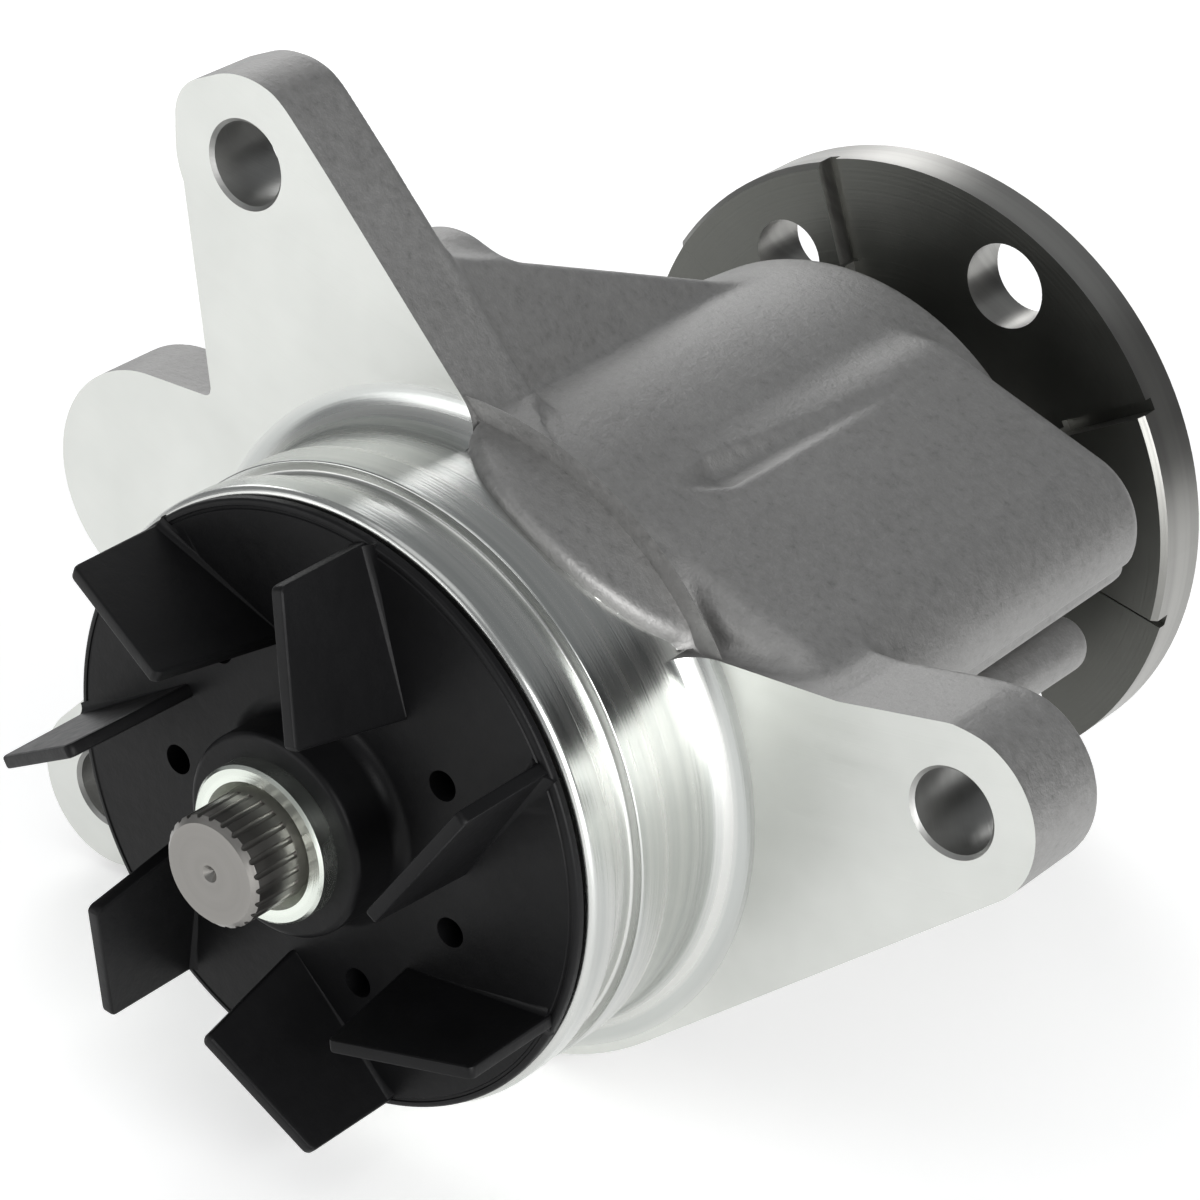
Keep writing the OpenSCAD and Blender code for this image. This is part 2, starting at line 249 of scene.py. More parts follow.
def cut_out(a, b, k):
    """Solid a without solid b, with a rounded edge about k wide."""
    return -blend_in(-a, b, k)


def disc(x, z, at, r):
    return np.hypot(x - at[0], z - at[1]) - r


def tapered(x, z, a, ra, b, rb):
    """Distance to the outline round two circles."""
    run = math.dist(a, b)
    ux, uz = (b[0] - a[0]) / run, (b[1] - a[1]) / run
    along = (x - a[0]) * ux + (z - a[1]) * uz
    across = np.abs((z - a[1]) * ux - (x - a[0]) * uz)
    slope = (ra - rb) / run
    flat = math.sqrt(1 - slope * slope)
    side = flat * along - slope * across
    return np.where(
        side < 0, np.hypot(across, along) - ra,
        np.where(side > flat * run, np.hypot(across, along - run) - rb,
                 across * flat + along * slope - ra))


def polygon(x, z, corners):
    """Distance to a closed outline, negative inside."""
    best = np.full(np.broadcast(x, z).shape, 1e9)
    inside = np.zeros(best.shape, bool)
    for (ax, az), (bx, bz) in zip(corners, corners[-1:] + corners[:-1]):
        ex, ez = bx - ax, bz - az
        wx, wz = x - ax, z - az
        t = np.clip((wx * ex + wz * ez) / (ex * ex + ez * ez), 0, 1)
        best = np.minimum(best, (wx - ex * t) ** 2 + (wz - ez * t) ** 2)
        span = ((z >= az) & (z < bz)) | ((z < az) & (z >= bz))
        if abs(ez) > 1e-9:
            inside ^= span & (wx < ex * wz / ez)
    return np.where(inside, -1, 1) * np.sqrt(best)


def capped(outline, y, low, high, edge):
    """Solid with that outline between low and high, its edges rounded."""
    flat = np.abs(y - (low + high) / 2) - (high - low) / 2
    a, b = outline + edge, flat + edge
    return np.minimum(np.maximum(a, b), 0) + np.hypot(np.maximum(a, 0), np.maximum(b, 0)) - edge


def block(x, z, low, high):
    dx = np.abs(x - (low[0] + high[0]) / 2) - (high[0] - low[0]) / 2
    dz = np.abs(z - (low[1] + high[1]) / 2) - (high[1] - low[1]) / 2
    return np.minimum(np.maximum(dx, dz), 0) + np.hypot(np.maximum(dx, 0), np.maximum(dz, 0))


def hull_planes(corners):
    """Outward planes of the convex solid round some corners."""
    corners = np.array(corners, float)
    centre, planes = corners.mean(0), []
    for i in range(len(corners)):
        for j in range(i):
            for k in range(j):
                n = np.cross(corners[j] - corners[i], corners[k] - corners[i])
                if np.linalg.norm(n) < 1e-6:
                    continue
                n = n / np.linalg.norm(n)
                if n @ (corners[i] - centre) < 0:
                    n = -n
                d = n @ corners[i]
                if (corners @ n - d).max() < 1e-6 and not any(
                        np.allclose((*n, d), p, atol=1e-4) for p in planes):
                    planes.append((*n, d))
    return planes


# ------------------------------------------------------------------- housing

# bolt holes in the ears, as (x, z)
EAR_TOP, EAR_RIGHT, EAR_LEFT = (-27.9, 52.7), (58.2, 10.5), (-51.7, -26.3)
EAR_R, SKIRT_R, FLANGE = 9.3, 36.7, 9.0
# the right ear is a little thicker than the rest
RIGHT_EAR = FLANGE + 1.8
EAR_HOLE_R, SPOT_R, SPOT_DEPTH = 4.4, 8.4, 0.3
# each bolt hole, with the ear's thickness there
EARS = ((EAR_TOP, FLANGE), (EAR_LEFT, FLANGE), (EAR_RIGHT, RIGHT_EAR))
# the spigot's pilot, the smaller radius behind it, and the fillet at its root
SPIGOT_R = 32.6
RELIEF_R, ROOT_R = SPIGOT_R - 0.35, 3.5
PILOT_END = -9.3
# bores, from the coolant side: mouth, shaft seal, weep space and bearing
MOUTH_R, SEAL_BORE_R, WEEP_SPACE_R, BEARING_R = 26.5, 18.25, 16.2, 19.05
MOUTH_FLOOR, SEAL_END, BEARING_START = -8, 3.2, 9
WEEP_AT, WEEP_R = 6.1, 2.5
BARREL_FRONT_R, BARREL_REAR_R = 32.8, 28
LOBE, LOBE_R = (-42.5, 12.6), 13.2
BOSS, BOSS_R = (-15.5, 35.3), 8.3
ARM, ARM_R = [(34, 11.6), (15.2, 18.4), (12, 4)], 8.7
# the space between the top ear and the right ear
VALLEY = [(-36.9, 76.5), (16.5, 16.9), (45, 17.7), (57.8, 19.8), (75, 19.8), (75, 76.5)]
# the part of the valley where the collar stands in front of the mounting face
COLLAR_AREA = [(-1, 37.05), (16.7, 17.3), (44, 18.1), (44, 44), (-1, 44)]
BRACE = hull_planes([
    (-9.6, 8, 45.5), (-0.5, 8, 33.6), (-12, 8, 18), (-27, 8, 40),
    (-5.5, 54, 27.9), (-4, 54, 24), (-10, 54, 18), (-11.5, 54, 25.6)])


def flange_field(x, y, z):
    """Flange with its three ears and the lobe at the left, without the valley."""
    shape = disc(x, z, (0, 0), SKIRT_R)
    outer = (EAR_TOP[0] - 4.2, EAR_TOP[1] + 2.9)
    top = np.minimum(tapered(x, z, (10, 10), 14, EAR_TOP, EAR_R),
                     tapered(x, z, (-25.2, 22), 8, outer, 5))
    top = np.minimum(top, tapered(x, z, EAR_TOP, EAR_R, outer, 5))
    top = np.minimum(top, polygon(x, z, [EAR_TOP, outer, (-25.2, 22), (10, 10)]))
    shape = blend_in(shape, top, 1.2)
    shape = np.minimum(shape, tapered(x, z, (0, 0), SKIRT_R, EAR_RIGHT, EAR_R))
    shape = np.minimum(shape, tapered(x, z, (0, 0), 26, EAR_LEFT, EAR_R))
    lobe = np.minimum(disc(x, z, LOBE, LOBE_R), block(x, z, (LOBE[0], -0.6), (-20.5, 25.8)))
    shape = blend_in(shape, lobe, 1.2)
    shape = cut_out(shape, polygon(x, z, VALLEY), 0.8)
    slab = capped(shape, y, -6, FLANGE, 0.9)
    pad = cut_out(tapered(x, z, (44, 7.9), 12.4, EAR_RIGHT, EAR_R), polygon(x, z, VALLEY), 0.8)
    return np.minimum(slab, capped(pad, y, -6, RIGHT_EAR, 0.9))


def barrel_field(x, y, z):
    """Drafted barrel."""
    r = np.hypot(x, z)
    lean = (BARREL_FRONT_R - BARREL_REAR_R) / 63
    shape = (r - BARREL_FRONT_R + lean * np.maximum(y - 1, 0)) / math.hypot(1, lean)
    return capped(shape, y, -1, BARREL_END, 2)


def arm_field(x, y, z):
    """Round-ended arm with fine lengthwise ridges along its lower side."""
    r = ARM_R - 0.7 * (y - 8) / 49
    shape = polygon(x, z, ARM) - r
    for angle in (-28, -52, -76):
        a = math.radians(angle)
        line = np.hypot(x - ARM[0][0] - (r + 0.35) * math.cos(a),
                        z - ARM[0][1] - (r + 0.35) * math.sin(a))
        shape = cut_out(shape, line - 0.85, 0.5)
    return capped(shape, y, 2, 58.5, 3.2)


def finger_field(x, y, z):
    """Slim rib under the arm."""
    return capped(tapered(x, z, (35.5, -1.5), 3.1, (20, -6), 3.1), y, 2, 54.5, 1.8)


def brace_field(x, y, z):
    """Wedge that braces the top ear against the barrel."""
    shape = None
    for nx, ny, nz, d in BRACE:
        side = nx * x + ny * y + nz * z - d
        shape = side if shape is None else -blend_in(-shape, -side, 1.2)
    return shape


def casting_field(x, y, z):
    """The whole casting before any cut."""
    shape = blend_in(flange_field(x, y, z), barrel_field(x, y, z), 1.6)
    shape = blend_in(shape, arm_field(x, y, z), 1.6)
    # a groove that fades out along the edge between the barrel and the arm
    along = (y - 12) / 40
    groove = np.hypot(x - 18.2 - 1.6 * along, z - 27.9 + 0.9 * along)
    depth = 2.6 * np.clip((y - 9) / 8, 0, 1) * np.clip((58 - y) / 46, 0, 1) ** 0.5
    shape = cut_out(shape, groove - depth, 0.5)
    shape = blend_in(shape, finger_field(x, y, z), 1.6)
    shape = blend_in(shape, brace_field(x, y, z), 1.4)
    boss = capped(disc(x, z, BOSS, BOSS_R), y, 2, 18.5, 2)
    shape = blend_in(shape, boss, 2)
    return blend_in(shape, collar_field(x, y, z), 1)


def collar_field(x, y, z):
    """Cast band in front of the mounting face, between the top and right ears."""
    a = math.radians(61)
    across = z * math.cos(a) - x * math.sin(a)
    shape = -blend_in(33.6 - np.hypot(x, z), 18.1 - np.hypot(across, y - 9.6), 1.2)
    shape = cut_out(shape, np.hypot(across, y - 19.4) - 18.1, 0.5)
    shape = np.maximum(shape, across - 14.4)
    return np.maximum(shape, 22 - x * math.cos(a) - z * math.sin(a))


def arc(centre, r, start, end, steps=8):
    """Points of an arc, its angles in degrees."""
    return [[centre[0] + r * math.cos(math.radians(start + (end - start) * i / steps)),
             centre[1] + r * math.sin(math.radians(start + (end - start) * i / steps))]
            for i in range(steps + 1)]


def bolt_hole(at, back):
    """Cutter for an ear's hole, with chamfers and a spot face at its back."""
    r = EAR_HOLE_R
    seat = back - SPOT_DEPTH
    return lathe("cutter", [[0, -2], [r + 2.4, -2], [r, 0.4], [r, seat - 0.3], [r + 0.3, seat],
                            [SPOT_R, seat], [SPOT_R, back + 4], [0, back + 4]], 64, at)


def turned_spigot():
    """Spigot with its ring groove, its pilot and the fillet at its root, clear of the valley."""
    outline = [[0, SPIGOT_FRONT]]
    outline += arc([SPIGOT_R - 0.8, SPIGOT_FRONT + 0.8], 0.8, -90, 0, 4)
    # the groove's outer edges and inner corners are slightly rounded
    outline += arc([SPIGOT_R - 0.2, -17.5], 0.2, 0, 90, 3) + arc([31.7, -16.9], 0.4, 270, 180, 3)
    outline += arc([31.7, -13.8], 0.4, 180, 90, 3) + arc([SPIGOT_R - 0.2, -13.2], 0.2, -90, 0, 3)
    outline += [[SPIGOT_R, PILOT_END], [RELIEF_R, PILOT_END + 0.35]]
    outline += arc([RELIEF_R + ROOT_R, -ROOT_R], ROOT_R, 180, 90, 10)
    outline += [[RELIEF_R + ROOT_R, 0.4], [0, 0.4]]
    core = RELIEF_R - 0.02
    clip = prism("cutter", VALLEY, -ROOT_R - 0.1, 0.3)
    combine(clip, lathe("keep", [[0, -5], [core, -5], [core, 1], [0, 1]], 240), "DIFFERENCE")
    return combine(lathe("spigot", outline, 240), clip, "DIFFERENCE")


def stepped_bore():
    """Cutter for the mouth, the seal's bore, the weep space and the bearing's bore."""
    lead = BEARING_R + 1
    return lathe("cutter", [
        [0, -30], [MOUTH_R + 0.9, -30], [MOUTH_R + 0.9, SPIGOT_FRONT], [MOUTH_R, SPIGOT_FRONT + 0.9],
        [MOUTH_R, MOUTH_FLOOR], [SEAL_BORE_R, MOUTH_FLOOR], [SEAL_BORE_R, SEAL_END],
        [WEEP_SPACE_R, SEAL_END], [WEEP_SPACE_R, BEARING_START], [BEARING_R, BEARING_START],
        [BEARING_R, BARREL_END - 1], [lead, BARREL_END], [lead, BARREL_END + 5], [0, BARREL_END + 5]], 180)


def weep_drill():
    """Cutter for the weep hole, which runs straight down."""
    angles = np.linspace(0, 2 * math.pi, 33)[:-1]
    drill = prism("cutter", [(WEEP_R * math.cos(a), WEEP_R * math.sin(a)) for a in angles], 10, 45)
    drill.data.transform(Matrix.Translation((0, WEEP_AT / 1000, 0))
                         @ Matrix.Rotation(math.radians(-90), 4, "X"))
    return fix_normals(drill)


def build_housing():
    low = [housing_low.x - 1.3, -11, housing_low.z - 1.3]
    high = [housing_high.x + 1.3, BARREL_END + 1.3, housing_high.z + 1.3]
    shape = net("housing_casting", casting_field, low, high, 0.5)
    box = [(-80, -50), (80, -50), (80, 80), (-80, 80)]
    # the mounting face is cut everywhere but in the valley, where the collar stands out
    front = prism("cutter", box, -20, 0)
    combine(front, prism("keep", COLLAR_AREA, -21, 1), "DIFFERENCE")
    combine(front, lathe("keep", [[0, -21], [30, -21], [30, 1], [0, 1]]), "DIFFERENCE")
    combine(shape, front, "DIFFERENCE")
    combine(shape, turned_spigot(), "UNION")
    combine(shape, stepped_bore(), "DIFFERENCE")
    combine(shape, join("cutter", [bolt_hole(at, back) for at, back in EARS]), "DIFFERENCE")
    combine(shape, weep_drill(), "DIFFERENCE")
    paint_housing(shape)
    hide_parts("housing")
    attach(shape, body_of["housing"])


def paint_housing(obj):
    """Gives each face its finish: cast, faced, turned or bored."""
    split_wide(obj)
    mesh = obj.data
    mesh.materials.clear()
    for finish in ("cast", "faced", "turned", "bored_painted_shade"):
        mesh.materials.append(MATERIALS[finish])
    cast, faced, turned, bored_painted_shade = range(4)
    n = len(mesh.polygons)
    centre, normal = np.zeros(n * 3), np.zeros(n * 3)
    mesh.polygons.foreach_get("center", centre)
    mesh.polygons.foreach_get("normal", normal)
    centre, normal = centre.reshape(-1, 3) * 1000, normal.reshape(-1, 3)
    x, y, z = centre.T
    r = np.hypot(x, z)
    kind = np.full(n, cast, np.int32)
    # the turned skin ends at the spigot's own radius, then at the fillet, which stops at the valley
    skin = np.where(y < PILOT_END + 0.4, SPIGOT_R, RELIEF_R) + 0.03
    fillet = np.abs(np.hypot(r - RELIEF_R - ROOT_R, y + ROOT_R) - ROOT_R) < 0.04
    fillet &= (y > -ROOT_R - 0.1) & (r < RELIEF_R + ROOT_R + 0.1) & (polygon(x, z, VALLEY) > 0)
    kind[(y < 0.01) & ((r < skin) | fillet)] = turned
    kind[(np.abs(y) < 0.02) & (normal[:, 1] < -0.99) & (r > 35)] = faced
    # bores and hole walls take the bored finish, whose darker colour is painted shade of the recess
    kind[(r < 20.1) | ((r < MOUTH_R + 0.1) & (y < MOUTH_FLOOR + 0.1))] = bored_painted_shade
    for at, back in EARS:
        d = np.hypot(x - at[0], z - at[1])
        kind[(d < 5.1) & (y > 0.01) & (y < back)] = bored_painted_shade
        kind[(d < 8.5) & (normal[:, 1] > 0.99) & (np.abs(y - back + SPOT_DEPTH) < 0.05)] = faced
    kind[(y > BARREL_END - 0.05) & (r < 25.4)] = faced
    mesh.polygons.foreach_set("material_index", kind)
    smooth(obj, 35)


def split_wide(obj):
    """Triangles in place of the many-sided faces that the booleans leave."""
    bm = bmesh.new()
    bm.from_mesh(obj.data)
    bmesh.ops.triangulate(bm, faces=[f for f in bm.faces if len(f.verts) > 4], ngon_method="EAR_CLIP")
    bm.to_mesh(obj.data)
    bm.free()


def smooth(obj, angle):
    """Smooth shading, with edges sharper than the angle, in degrees, kept sharp."""
    obj.data.shade_smooth()
    obj.data.set_sharp_from_angle(angle=math.radians(angle))
    # wide flat faces keep their own normals, and their rounded edges take up the turn
    even = obj.modifiers.new("even", "WEIGHTED_NORMAL")
    even.keep_sharp = True


# ------------------------------------------------------------------ impeller

VANES = 7
VANE_T = 1.4
# ends of the first vane, as (radius, angle in degrees) about the shaft
VANE_INNER, VANE_OUTER = (19.5, 108.9), (31.5, 130.3)


def polar(r, degrees):
    """Point as x, z at that radius and angle about the shaft."""
    a = math.radians(degrees)
    return np.array([r * math.cos(a), r * math.sin(a)])


def build_vane(turn):
    """One vane with rounded edges, and the coves where it grows out of the disc."""
    front, tip = impeller_low.y, impeller_low.y + 3.5
    inner, outer = (polar(r, angle + turn) for r, angle in (VANE_INNER, VANE_OUTER))
    run = np.linalg.norm(outer - inner)
    along = (outer - inner) / run
    across = np.array([-along[1], along[0]])
    foot = -2.8
    side = [[foot, -21.9], [run, -21.9]]
    side += arc([run - 0.8, tip + 0.8], 0.8, 0, -75, 4)
    side += arc([0.9, front + 1.1], 0.9, -100, -180, 4)

    def place(s, y, t):
        p = inner + along * s + across * t
        return (p[0], y, p[1])

    points = [place(s, y, t) for t in (-VANE_T / 2, VANE_T / 2) for s, y in side]
    blade = fix_normals(mesh_object("blade", points, prism_faces(len(side))))
    bm = bmesh.new()
    bm.from_mesh(blade.data)
    rim = [e for e in bm.edges if e.calc_face_angle(0) > math.radians(50)]
    bmesh.ops.bevel(bm, geom=rim, offset=0.28 / 1000, segments=2, profile=0.5, affect="EDGES")
    bm.to_mesh(blade.data)
    bm.free()
    parts = [blade]
    for sign in (-1, 1):
        r, wall, floor = 1.1, VANE_T / 2 - 0.1, -22.45
        cove = [[wall, floor + 0.6], [wall, floor - r]]
        cove += [[wall + r - r * math.cos(math.radians(a)), floor - r + r * math.sin(math.radians(a))]
                 for a in (15, 30, 45, 60, 75, 90)]
        cove += [[wall + r, floor + 0.6]]
        points = [place(s, y, sign * t) for s in (foot + 0.6, run - 0.25) for t, y in cove]
        parts.append(fix_normals(mesh_object("cove", points, prism_faces(len(cove)))))
    return parts


def build_impeller():
    """Disc with its boss, seven vanes and seven balance holes, as one moulding."""
    front, back = impeller_low.y + 8.5, impeller_high.y
    r_in, r_out = 8.3, 32.0
    profile = [[r_in, front]]
    profile += arc([10.1, front + 0.7], 0.7, -90, 0, 4)
    profile += arc([10.8 + 1.5, -23 - 1.5], 1.5, 180, 90, 5)
    profile += [[18, -23], [30.9, -22.45]]
    # a fine step near the disc's edge
    profile += [[31.0, -22.3], [31.25, -22.3], [31.35, -22.42]]
    profile += arc([r_out - 0.4, -22], 0.4, -90, 0, 3)
    profile += [[r_out, -21.5], [r_out - 0.2, -21.3], [25.6, -21.3], [25, -19.7], [14, -19.7],
                [12.5, back], [r_in, back]]
    shape = lathe("impeller_moulding", profile, 210)
    for i in range(VANES):
        for part in build_vane(i * 360 / VANES):
            combine(shape, part, "UNION")
    pins = []
    for i in range(VANES):
        at = polar(18.3, 28 + i * 360 / VANES)
        pins.append(lathe("cutter", [[0, -30], [1.6, -30], [1.6, -15], [0, -15]], 40, at))
    combine(shape, join("cutter", pins), "DIFFERENCE")
    split_wide(shape)
    shape.data.materials.clear()
    shape.data.materials.append(MATERIALS["plastic"])
    smooth(shape, 32)
    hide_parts("impeller")
    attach(shape, body_of["impeller"])


# ------------------------------------------------- springy parts of the seal


def shorten_with_ring(obj, node):
    """The piece stands for a node of the seal: the node is hidden and the piece hangs from its body."""
    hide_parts(node)
    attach(obj, body_of[node])
    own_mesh(obj)


def build_bellows():
    """Folded rubber sleeve with a flange at each end."""
    low, high = reach("seal_bellows")
    front, back = low.y, high.y
    outline = [[10.2, back], [10.2, front + 1.8], [9.7, front + 1], [9.7, front], [14.8, front],
               [15, front + 0.2], [15, front + 0.8], [14.8, front + 1], [11.7, front + 1]]
    outline += arc([11.4, front + 3], 1, -60, 60, 8)
    outline += [[11.4, back - 1.5], [11.7, back - 1.2], [13.4, back - 1.2], [13.6, back - 1], [13.6, back]]
    shape = lathe("bellows_rubber", outline, 120)
    shape.data.materials.append(MATERIALS["rubber"])
    smooth(shape, 40)
    shorten_with_ring(shape, "seal_bellows")


def build_spring():
    """Coil spring of round wire, wound round the bellows."""
    low, high = reach("seal_spring")
    wire, coil, turns, steps, sides = 0.55, 14.6, 2.75, 220, 12
    points, faces = [], []
    for i in range(steps + 1):
        t = i / steps
        a = 2 * math.pi * turns * t
        y = low.y + wire + (high.y - low.y - 2 * wire) * t
        for j in range(sides):
            b = 2 * math.pi * j / sides
            r = coil + wire * math.cos(b)
            points.append((r * math.cos(a), y + wire * math.sin(b), r * math.sin(a)))
    for i in range(steps):
        for j in range(sides):
            k = (j + 1) % sides
            faces.append([i * sides + j, i * sides + k, (i + 1) * sides + k, (i + 1) * sides + j])
    faces += [list(range(sides)), list(range(steps * sides, (steps + 1) * sides))]
    shape = fix_normals(mesh_object("spring_wire", points, faces))
    shape.data.materials.append(MATERIALS["bright"])
    smooth(shape, 50)
    shorten_with_ring(shape, "seal_spring")


# ----------------------------------------------------------------- materials


class Finish:
    """A small builder for one procedural material."""

    def __init__(self, name, metallic, roughness, colour):
        self.material = bpy.data.materials.new(name)
        self.material.use_nodes = True
        self.tree = self.material.node_tree
        self.shader = self.tree.nodes["Principled BSDF"]
        self.set("Metallic", metallic)
        self.set("Roughness", roughness)
        self.set("Base Color", (*colour, 1))
        self.place = self.node("ShaderNodeTexCoord").outputs["Object"]
        self.height = None

    def set(self, socket, value):
        self.shader.inputs[socket].default_value = value

    def node(self, kind, **settings):
        made = self.tree.nodes.new(kind)
        for key, value in settings.items():
            setattr(made, key, value)
        return made

    def link(self, a, b):
        self.tree.links.new(a, b)

    def math(self, how, a, b=None):
        made = self.node("ShaderNodeMath", operation=how)
        for socket, value in zip(made.inputs, (a, b)):
            if value is None:
                continue
            if isinstance(value, (int, float)):
                socket.default_value = value
            else:
                self.link(value, socket)
        return made.outputs[0]

    def noise(self, scale, detail=3, along=None, rough=0.55):
        made = self.node("ShaderNodeTexNoise")
        made.inputs["Scale"].default_value = scale
        made.inputs["Detail"].default_value = detail
        made.inputs["Roughness"].default_value = rough
        if along is not None:
            made.noise_dimensions = "1D"
            self.link(along, made.inputs["W"])
        else:
            self.link(self.place, made.inputs["Vector"])
        return made.outputs["Fac"]

    def ramp(self, fac, stops):
        made = self.node("ShaderNodeValToRGB")
        ramp = made.color_ramp
        while len(ramp.elements) < len(stops):
            ramp.elements.new(0.5)
        for element, (at, colour) in zip(ramp.elements, stops):
            element.position = at
            element.color = (*colour, 1) if isinstance(colour, tuple) else (colour,) * 3 + (1,)
        self.link(fac, made.inputs["Fac"])
        return made.outputs["Color"]

    def mix(self, fac, a, b):
        made = self.node("ShaderNodeMix", data_type="RGBA")
        self.link(fac, made.inputs["Factor"])
        for socket, value in ((made.inputs[6], a), (made.inputs[7], b)):
            if isinstance(value, tuple):
                socket.default_value = (*value, 1)
            else:
                self.link(value, socket)
        return made.outputs[2]

    def colour(self, socket):
        self.link(socket, self.shader.inputs["Base Color"])

    def rough(self, fac, low, high):
        made = self.node("ShaderNodeMapRange")
        made.inputs["To Min"].default_value = low
        made.inputs["To Max"].default_value = high
        self.link(fac, made.inputs["Value"])
        self.link(made.outputs["Result"], self.shader.inputs["Roughness"])

    def bump(self, height, depth_mm, strength=1.0):
        made = self.node("ShaderNodeBump")
        made.inputs["Distance"].default_value = depth_mm / 1000
        made.inputs["Strength"].default_value = strength
        self.link(height, made.inputs["Height"])
        if self.height is not None:
            self.link(self.height, made.inputs["Normal"])
        self.height = made.outputs["Normal"]
        self.link(self.height, self.shader.inputs["Normal"])

    def turned_line(self):
        """Grows along a turned surface: outwards on a face, along Y on a cylinder."""
        flat = self.node("ShaderNodeVectorMath", operation="MULTIPLY")
        self.link(self.place, flat.inputs[0])
        flat.inputs[1].default_value = (1, 0, 1)
        size = self.node("ShaderNodeVectorMath", operation="LENGTH")
        self.link(flat.outputs["Vector"], size.inputs[0])
        parts = self.node("ShaderNodeSeparateXYZ")
        self.link(self.place, parts.inputs[0])
        return self.math("ADD", size.outputs["Value"], parts.outputs["Y"])

    def far_arcs(self, centre):
        """Distance from a point, whose rings are a cutter's arcs on a face."""
        away = self.node("ShaderNodeVectorMath", operation="DISTANCE")
        self.link(self.place, away.inputs[0])
        away.inputs[1].default_value = centre
        return away.outputs["Value"]


def cast_metal():
    f = Finish("cast_aluminium", 0.75, 0.5, (0.27, 0.268, 0.263))
    wide, grain, fine = f.noise(45, 3), f.noise(900, 4, rough=0.7), f.noise(2600, 2)
    tone = f.ramp(wide, [(0.3, (0.24, 0.238, 0.234)), (0.7, (0.30, 0.298, 0.293))])
    specks = f.ramp(grain, [(0.28, (0.18, 0.178, 0.174)), (0.42, (0.27, 0.267, 0.262)),
                            (0.72, (0.35, 0.347, 0.34))])
    f.colour(f.mix(f.ramp(fine, [(0.35, 0.35), (0.65, 0.65)]), tone, specks))
    f.rough(grain, 0.44, 0.62)
    f.bump(grain, 0.10)
    f.bump(fine, 0.035)
    return f.material


def faced_metal():
    f = Finish("faced_aluminium", 1.0, 0.34, (0.65, 0.662, 0.635))
    arcs = f.far_arcs((0.03, 0, 0.21))
    lines, broad = f.noise(3800, 2, along=arcs), f.noise(500, 2, along=arcs)
    cloud = f.noise(70, 3)
    f.colour(f.ramp(cloud, [(0.3, (0.62, 0.632, 0.606)), (0.7, (0.68, 0.692, 0.665))]))
    f.rough(broad, 0.30, 0.42)
    f.bump(lines, 0.010)
    return f.material


def turned_metal():
    f = Finish("turned_aluminium", 1.0, 0.26, (0.58, 0.59, 0.575))
    line = f.turned_line()
    lines, broad, cloud = f.noise(3200, 3, along=line), f.noise(420, 2, along=line), f.noise(60, 3)
    f.colour(f.mix(f.ramp(broad, [(0.35, 0.0), (0.65, 1.0)]), (0.52, 0.535, 0.52), (0.64, 0.645, 0.625)))
    f.rough(f.math("ADD", f.math("MULTIPLY", broad, 0.7), f.math("MULTIPLY", cloud, 0.3)), 0.16, 0.36)
    f.bump(lines, 0.012)
    f.bump(broad, 0.02)
    return f.material


def bored_metal_painted_shade():
    # painted shade: the darker colour stands for the shade inside bores and holes; the higher roughness is
    # the bored surface's own duller finish
    f = Finish("bored_aluminium_painted_shade", 1.0, 0.45, (0.34, 0.34, 0.33))
    line = f.turned_line()
    lines, cloud = f.noise(1800, 2, along=line), f.noise(120, 3)
    f.colour(f.ramp(cloud, [(0.3, (0.30, 0.30, 0.29)), (0.7, (0.40, 0.40, 0.39))]))
    f.rough(lines, 0.36, 0.54)
    f.bump(lines, 0.02)
    return f.material


def black_plastic():
    f = Finish("black_plastic", 0.0, 0.42, (0.004, 0.004, 0.0045))
    cloud, grain, fine = f.noise(55, 3), f.noise(700, 3), f.noise(2400, 2)
    f.colour(f.ramp(cloud, [(0.3, (0.003, 0.003, 0.0033)), (0.75, (0.007, 0.007, 0.0075))]))
    f.rough(grain, 0.34, 0.52)
    f.bump(grain, 0.03)
    f.bump(fine, 0.012)
    f.set("Specular IOR Level", 0.16)
    return f.material


# near, when given, is the colour of painted shade on the faces that look towards -Y
def steel(name, colour, low, high, spread=0.12, marks=0.012, near=None):
    f = Finish(name, 1.0, (low + high) / 2, colour)
    line = f.turned_line()
    lines, broad, cloud = f.noise(3000, 3, along=line), f.noise(380, 2, along=line), f.noise(90, 4)
    dark = tuple(c * (1 - spread) for c in colour)
    light = tuple(min(1, c * (1 + spread)) for c in colour)
    tone = f.mix(f.ramp(broad, [(0.3, 0.0), (0.7, 1.0)]), f.ramp(cloud, [(0.3, dark), (0.7, colour)]), light)
    if near is not None:
        # painted shade: the faces that look towards -Y take the darker near colour, as if lying in shade
        faces = f.node("ShaderNodeSeparateXYZ")
        f.link(f.node("ShaderNodeTexCoord").outputs["Normal"], faces.inputs[0])
        skin = f.ramp(f.math("MULTIPLY", faces.outputs["Y"], -1), [(0.5, 0.0), (0.9, 1.0)])
        tone = f.mix(skin, tone, f.ramp(cloud, [(0.3, near), (0.7, tuple(c * 1.15 for c in near))]))
    f.colour(tone)
    f.rough(cloud, low, high)
    f.bump(lines, marks)
    return f.material


def rubber():
    f = Finish("black_rubber", 0.0, 0.7, (0.02, 0.02, 0.02))
    cloud, grain = f.noise(80, 3), f.noise(1500, 3)
    f.colour(f.ramp(cloud, [(0.3, (0.014, 0.014, 0.014)), (0.7, (0.03, 0.03, 0.03))]))
    f.rough(grain, 0.6, 0.8)
    f.bump(grain, 0.03)
    return f.material


def carbon():
    f = Finish("seal_carbon", 0.0, 0.35, (0.03, 0.03, 0.032))
    grain = f.noise(1200, 3)
    f.colour(f.ramp(grain, [(0.3, (0.02, 0.02, 0.022)), (0.7, (0.045, 0.045, 0.047))]))
    f.rough(grain, 0.28, 0.42)
    return f.material


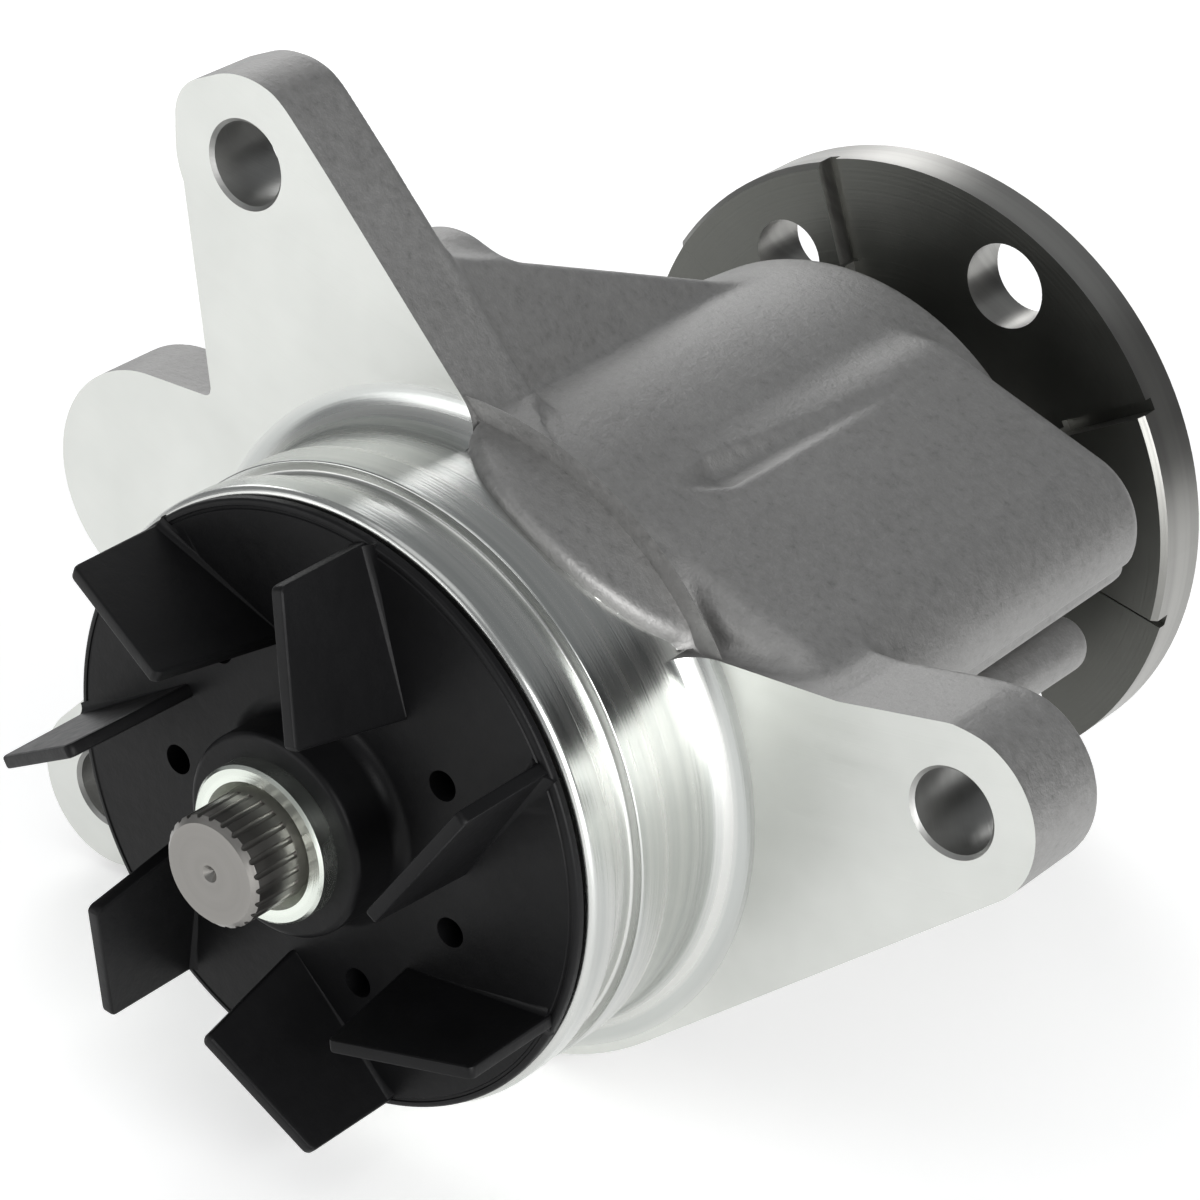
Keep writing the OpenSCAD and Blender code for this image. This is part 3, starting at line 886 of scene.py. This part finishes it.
def ceramic():
    f = Finish("seal_ceramic", 0.0, 0.25, (0.8, 0.78, 0.7))
    cloud = f.noise(150, 3)
    f.colour(f.ramp(cloud, [(0.3, (0.74, 0.72, 0.64)), (0.7, (0.84, 0.82, 0.75))]))
    f.rough(cloud, 0.2, 0.34)
    return f.material


MATERIALS = {
    "cast": cast_metal(),
    "faced": faced_metal(),
    "turned": turned_metal(),
    "bored_painted_shade": bored_metal_painted_shade(),
    "plastic": black_plastic(),
    "insert": steel("insert_steel", (0.70, 0.74, 0.68), 0.18, 0.34),
    "shaft": steel("shaft_steel", (0.24, 0.232, 0.22), 0.24, 0.42),
    # the hub's faces towards -Y carry painted shade
    "hub": steel("hub_steel", (0.34, 0.336, 0.322), 0.30, 0.46, marks=0.016,
                 near=(0.13, 0.132, 0.122)),
    "bright": steel("bright_steel", (0.62, 0.62, 0.62), 0.14, 0.28, 0.05),
    "pressed": steel("pressed_steel", (0.60, 0.58, 0.52), 0.25, 0.4, 0.08),
    "brass": steel("cage_brass", (0.60, 0.46, 0.22), 0.3, 0.45, 0.08),
    "rubber": rubber(),
    "carbon": carbon(),
    "ceramic": ceramic(),
}

# finish of each CAD node that is shown as it is
KEPT = {
    "impeller_insert": "insert", "bearing_shaft": "shaft", "pulley_hub": "hub",
    "bearing_outer_ring": "bright", "bearing_balls": "bright", "ball_cage": "brass",
    "bearing_rollers": "bright", "roller_cage": "brass", "bearing_seal_front": "rubber",
    "bearing_seal_rear": "rubber", "slinger": "rubber", "seal_case": "pressed",
    "seal_carbon_ring": "carbon", "seal_drive_ring": "pressed", "seal_mating_ring": "ceramic",
    "seal_mating_cup": "rubber", "seal_sleeve": "pressed",
}
for node, finish in KEPT.items():
    slots = frame["nodes"][node].data.materials
    slots.clear()
    slots.append(MATERIALS[finish])

build_housing()
build_impeller()
build_bellows()
build_spring()

# --------------------------------------------------------------- studio scene

scene = bpy.context.scene


def floor_material():
    f = Finish("studio_floor", 0.0, 0.6, (0.9, 0.9, 0.9))
    cloud = f.noise(3, 2)
    f.colour(f.ramp(cloud, [(0.3, (0.89, 0.89, 0.885)), (0.7, (0.91, 0.91, 0.905))]))
    # a light table's glow keeps the shadows soft
    f.set("Emission Color", (1, 1, 1, 1))
    f.set("Emission Strength", 0.4)
    return f.material


floor = mesh_object("floor", [(-3000, -3000, 0), (3000, -3000, 0), (3000, 3000, 0), (-3000, 3000, 0)],
                    [[0, 1, 2, 3]])
floor.location.z = cad_low.z - 0.0001
floor.data.materials.append(floor_material())

# a black studio flag that only reflections see, behind and to the right of the pump
flag = mesh_object("flag", [(100, 280, 0), (320, 90, 0), (320, 90, 190), (100, 280, 190)], [[0, 1, 2, 3]])
flag.location.z = cad_low.z
flag_paint = Finish("flag_cloth", 0.0, 0.9, (0.01, 0.01, 0.01))
flag_paint.rough(flag_paint.noise(30), 0.85, 0.95)
flag.data.materials.append(flag_paint.material)
flag.visible_camera = flag.visible_diffuse = flag.visible_shadow = False

world = bpy.data.worlds.new("studio")
scene.world = world
world.use_nodes = True
world.node_tree.nodes["Background"].inputs["Color"].default_value = (0.93, 0.95, 0.97, 1)
world.node_tree.nodes["Background"].inputs["Strength"].default_value = 0.3

middle = (cad_low + cad_high) / 2


def light(name, direction, distance, size, power):
    """Rectangular softbox, in metres and watts, that faces the pump's middle."""
    data = bpy.data.lights.new(name, "AREA")
    data.shape = "RECTANGLE"
    data.size, data.size_y = size
    data.energy = power
    lamp = bpy.data.objects.new(name, data)
    scene.collection.objects.link(lamp)
    aim = Vector(direction).normalized()
    lamp.location = middle + aim * distance
    lamp.rotation_mode = "QUATERNION"
    lamp.rotation_quaternion = aim.to_track_quat("Z", "Y")


light("top_softbox", (0.05, -0.2, 1), 0.7, (0.6, 0.6), 0.7)
light("right_softbox", (1, -0.4, 0.25), 0.7, (0.5, 0.5), 5)
light("left_softbox", (-0.72, 0.6, 0.45), 0.7, (0.5, 0.35), 1.6)
light("front_softbox", (-0.5, -1, 0.25), 0.8, (0.7, 0.4), 1.8)

# the camera stands where the photo's did, worked out from the circles on the pump
camera_data = bpy.data.cameras.new("camera")
camera = bpy.data.objects.new("camera", camera_data)
scene.collection.objects.link(camera)
scene.camera = camera
camera_data.sensor_width = 36
camera_data.lens = 141.19
camera_data.clip_start = 0.02
right = Vector((0.78072, 0.62488, 0))
up = Vector((-0.28949, 0.36168, 0.88622))
back = Vector((0.55378, -0.69189, 0.46327))
camera.matrix_world = Matrix.Translation((0.26737, -0.31315, 0.22879)) @ Matrix(
    (right, up, back)).transposed().to_4x4()
scene.view_settings.view_transform = "Standard"
